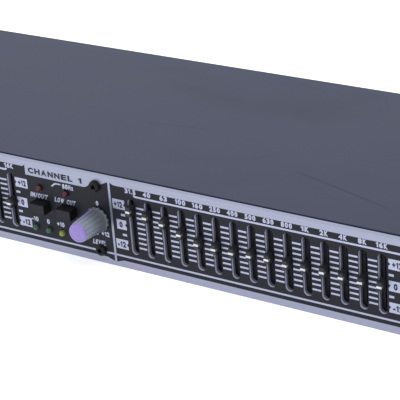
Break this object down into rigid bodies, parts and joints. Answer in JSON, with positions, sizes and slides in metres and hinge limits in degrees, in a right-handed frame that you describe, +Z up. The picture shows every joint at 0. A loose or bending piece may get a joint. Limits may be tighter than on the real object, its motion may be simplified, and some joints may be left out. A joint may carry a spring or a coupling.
{
  "type": "graphic equalizer",
  "caption": "One-unit rack graphic equalizer with two channels of slide controls, level knobs, push buttons, indicator lights and rear sockets.",
  "frame": {"origin": "middle of the base, at the height of the surface it stands on, halfway between the knobs' front and the sockets' back", "axes": "+X along the front panel to the viewer's right, +Y from the front panel to the back, +Z up"},
  "size_m": [0.4826, 0.1618, 0.044],
  "materials": {
    "brushed_panel": "brushed, with printed black areas",
    "cover_paint": "satin powder coat",
    "chassis_paint": "satin powder coat",
    "slider_plastic": "moulded, with a white index line",
    "knob_plastic": "ribbed soft moulding",
    "button_plastic": "moulded",
    "switch_plastic": "moulded",
    "socket_plastic": "moulded",
    "guide_plastic": "moulded",
    "plated_metal": "plated",
    "circuit_board": "solder mask",
    "laminated_iron": "varnished laminations",
    "winding_tape": "polyester tape"
  },
  "bodies": {
    "root": {"front_panel": "brushed_panel", "chassis_tray": "chassis_paint", "rear_panel": "chassis_paint", "top_cover": "cover_paint", "slider_board_ch1": "circuit_board", "slider_board_ch2": "circuit_board", "control_board_ch1": "circuit_board", "control_board_ch2": "circuit_board", "led_guide_ch1": "guide_plastic", "led_guide_ch2": "guide_plastic", "level_pot_ch1": "plated_metal", "level_pot_ch2": "plated_metal", "main_board": "circuit_board", "transformer_core": "laminated_iron", "transformer_winding": "winding_tape", "mains_inlet": "socket_plastic", "power_switch_body": "switch_plastic", "xlr_input_ch1": "socket_plastic", "xlr_output_ch1": "socket_plastic", "xlr_input_ch2": "socket_plastic", "xlr_output_ch2": "socket_plastic", "jack_pair_ch1": "socket_plastic", "jack_pair_ch2": "socket_plastic"},
    "slider_ch1_31_5": {"slider_ch1_31_5": "slider_plastic"},
    "slider_ch1_40": {"slider_ch1_40": "slider_plastic"},
    "slider_ch1_63": {"slider_ch1_63": "slider_plastic"},
    "slider_ch1_100": {"slider_ch1_100": "slider_plastic"},
    "slider_ch1_160": {"slider_ch1_160": "slider_plastic"},
    "slider_ch1_250": {"slider_ch1_250": "slider_plastic"},
    "slider_ch1_400": {"slider_ch1_400": "slider_plastic"},
    "slider_ch1_500": {"slider_ch1_500": "slider_plastic"},
    "slider_ch1_630": {"slider_ch1_630": "slider_plastic"},
    "slider_ch1_800": {"slider_ch1_800": "slider_plastic"},
    "slider_ch1_1k": {"slider_ch1_1k": "slider_plastic"},
    "slider_ch1_2k": {"slider_ch1_2k": "slider_plastic"},
    "slider_ch1_4k": {"slider_ch1_4k": "slider_plastic"},
    "slider_ch1_8k": {"slider_ch1_8k": "slider_plastic"},
    "slider_ch1_16k": {"slider_ch1_16k": "slider_plastic"},
    "level_knob_ch1": {"level_knob_ch1": "knob_plastic"},
    "in_out_button_ch1": {"in_out_button_ch1": "button_plastic"},
    "low_cut_button_ch1": {"low_cut_button_ch1": "button_plastic"},
    "slider_ch2_31_5": {"slider_ch2_31_5": "slider_plastic"},
    "slider_ch2_40": {"slider_ch2_40": "slider_plastic"},
    "slider_ch2_63": {"slider_ch2_63": "slider_plastic"},
    "slider_ch2_100": {"slider_ch2_100": "slider_plastic"},
    "slider_ch2_160": {"slider_ch2_160": "slider_plastic"},
    "slider_ch2_250": {"slider_ch2_250": "slider_plastic"},
    "slider_ch2_400": {"slider_ch2_400": "slider_plastic"},
    "slider_ch2_500": {"slider_ch2_500": "slider_plastic"},
    "slider_ch2_630": {"slider_ch2_630": "slider_plastic"},
    "slider_ch2_800": {"slider_ch2_800": "slider_plastic"},
    "slider_ch2_1k": {"slider_ch2_1k": "slider_plastic"},
    "slider_ch2_2k": {"slider_ch2_2k": "slider_plastic"},
    "slider_ch2_4k": {"slider_ch2_4k": "slider_plastic"},
    "slider_ch2_8k": {"slider_ch2_8k": "slider_plastic"},
    "slider_ch2_16k": {"slider_ch2_16k": "slider_plastic"},
    "level_knob_ch2": {"level_knob_ch2": "knob_plastic"},
    "in_out_button_ch2": {"in_out_button_ch2": "button_plastic"},
    "low_cut_button_ch2": {"low_cut_button_ch2": "button_plastic"},
    "power_rocker": {"power_rocker": "switch_plastic"}
  },
  "joints": [
    {"name": "slider_ch1_31_5_slide", "type": "slide", "parent": "root", "child": "slider_ch1_31_5", "axis": [0, 0, 1], "range_m": [-0.012, 0.008]},
    {"name": "slider_ch1_40_slide", "type": "slide", "parent": "root", "child": "slider_ch1_40", "axis": [0, 0, 1], "range_m": [-0.013, 0.007]},
    {"name": "slider_ch1_63_slide", "type": "slide", "parent": "root", "child": "slider_ch1_63", "axis": [0, 0, 1], "range_m": [-0.011, 0.009]},
    {"name": "slider_ch1_100_slide", "type": "slide", "parent": "root", "child": "slider_ch1_100", "axis": [0, 0, 1], "range_m": [-0.0105, 0.0095]},
    {"name": "slider_ch1_160_slide", "type": "slide", "parent": "root", "child": "slider_ch1_160", "axis": [0, 0, 1], "range_m": [-0.0085, 0.0115]},
    {"name": "slider_ch1_250_slide", "type": "slide", "parent": "root", "child": "slider_ch1_250", "axis": [0, 0, 1], "range_m": [-0.008, 0.012]},
    {"name": "slider_ch1_400_slide", "type": "slide", "parent": "root", "child": "slider_ch1_400", "axis": [0, 0, 1], "range_m": [-0.0105, 0.0095]},
    {"name": "slider_ch1_500_slide", "type": "slide", "parent": "root", "child": "slider_ch1_500", "axis": [0, 0, 1], "range_m": [-0.01, 0.01]},
    {"name": "slider_ch1_630_slide", "type": "slide", "parent": "root", "child": "slider_ch1_630", "axis": [0, 0, 1], "range_m": [-0.0115, 0.0085]},
    {"name": "slider_ch1_800_slide", "type": "slide", "parent": "root", "child": "slider_ch1_800", "axis": [0, 0, 1], "range_m": [-0.0125, 0.0075]},
    {"name": "slider_ch1_1k_slide", "type": "slide", "parent": "root", "child": "slider_ch1_1k", "axis": [0, 0, 1], "range_m": [-0.011, 0.009]},
    {"name": "slider_ch1_2k_slide", "type": "slide", "parent": "root", "child": "slider_ch1_2k", "axis": [0, 0, 1], "range_m": [-0.01, 0.01]},
    {"name": "slider_ch1_4k_slide", "type": "slide", "parent": "root", "child": "slider_ch1_4k", "axis": [0, 0, 1], "range_m": [-0.0095, 0.0105]},
    {"name": "slider_ch1_8k_slide", "type": "slide", "parent": "root", "child": "slider_ch1_8k", "axis": [0, 0, 1], "range_m": [-0.009, 0.011]},
    {"name": "slider_ch1_16k_slide", "type": "slide", "parent": "root", "child": "slider_ch1_16k", "axis": [0, 0, 1], "range_m": [-0.0094, 0.0106]},
    {"name": "level_knob_ch1_turn", "type": "hinge", "parent": "root", "child": "level_knob_ch1", "pos_m": [-0.00756, -0.0639, 0.0223], "axis": [0, 1, 0], "range_deg": [-150, 150]},
    {"name": "in_out_button_ch1_press", "type": "slide", "parent": "root", "child": "in_out_button_ch1", "axis": [0, 1, 0], "range_m": [0, 0.0025], "stiffness_N_per_m": 300, "springref_m": -0.001},
    {"name": "low_cut_button_ch1_press", "type": "slide", "parent": "root", "child": "low_cut_button_ch1", "axis": [0, 1, 0], "range_m": [0, 0.0025], "stiffness_N_per_m": 300, "springref_m": -0.001},
    {"name": "slider_ch2_31_5_slide", "type": "slide", "parent": "root", "child": "slider_ch2_31_5", "axis": [0, 0, 1], "range_m": [-0.0188, 0.0012]},
    {"name": "slider_ch2_40_slide", "type": "slide", "parent": "root", "child": "slider_ch2_40", "axis": [0, 0, 1], "range_m": [-0.0175, 0.0025]},
    {"name": "slider_ch2_63_slide", "type": "slide", "parent": "root", "child": "slider_ch2_63", "axis": [0, 0, 1], "range_m": [-0.0162, 0.0038]},
    {"name": "slider_ch2_100_slide", "type": "slide", "parent": "root", "child": "slider_ch2_100", "axis": [0, 0, 1], "range_m": [-0.013, 0.007]},
    {"name": "slider_ch2_160_slide", "type": "slide", "parent": "root", "child": "slider_ch2_160", "axis": [0, 0, 1], "range_m": [-0.0102, 0.0098]},
    {"name": "slider_ch2_250_slide", "type": "slide", "parent": "root", "child": "slider_ch2_250", "axis": [0, 0, 1], "range_m": [-0.0098, 0.0102]},
    {"name": "slider_ch2_400_slide", "type": "slide", "parent": "root", "child": "slider_ch2_400", "axis": [0, 0, 1], "range_m": [-0.0099, 0.0101]},
    {"name": "slider_ch2_500_slide", "type": "slide", "parent": "root", "child": "slider_ch2_500", "axis": [0, 0, 1], "range_m": [-0.0104, 0.0096]},
    {"name": "slider_ch2_630_slide", "type": "slide", "parent": "root", "child": "slider_ch2_630", "axis": [0, 0, 1], "range_m": [-0.0108, 0.0092]},
    {"name": "slider_ch2_800_slide", "type": "slide", "parent": "root", "child": "slider_ch2_800", "axis": [0, 0, 1], "range_m": [-0.01, 0.01]},
    {"name": "slider_ch2_1k_slide", "type": "slide", "parent": "root", "child": "slider_ch2_1k", "axis": [0, 0, 1], "range_m": [-0.0103, 0.0097]},
    {"name": "slider_ch2_2k_slide", "type": "slide", "parent": "root", "child": "slider_ch2_2k", "axis": [0, 0, 1], "range_m": [-0.0107, 0.0093]},
    {"name": "slider_ch2_4k_slide", "type": "slide", "parent": "root", "child": "slider_ch2_4k", "axis": [0, 0, 1], "range_m": [-0.0102, 0.0098]},
    {"name": "slider_ch2_8k_slide", "type": "slide", "parent": "root", "child": "slider_ch2_8k", "axis": [0, 0, 1], "range_m": [-0.0101, 0.0099]},
    {"name": "slider_ch2_16k_slide", "type": "slide", "parent": "root", "child": "slider_ch2_16k", "axis": [0, 0, 1], "range_m": [-0.0101, 0.0099]},
    {"name": "level_knob_ch2_turn", "type": "hinge", "parent": "root", "child": "level_knob_ch2", "pos_m": [0.1861, -0.0639, 0.0223], "axis": [0, 1, 0], "range_deg": [-150, 150]},
    {"name": "in_out_button_ch2_press", "type": "slide", "parent": "root", "child": "in_out_button_ch2", "axis": [0, 1, 0], "range_m": [0, 0.0025], "stiffness_N_per_m": 300, "springref_m": -0.001},
    {"name": "low_cut_button_ch2_press", "type": "slide", "parent": "root", "child": "low_cut_button_ch2", "axis": [0, 1, 0], "range_m": [0, 0.0025], "stiffness_N_per_m": 300, "springref_m": -0.001},
    {"name": "power_rocker_tip", "type": "hinge", "parent": "root", "child": "power_rocker", "pos_m": [0.206, -0.0599, 0.022], "axis": [1, 0, 0], "range_deg": [-16, 0]}
  ]
}
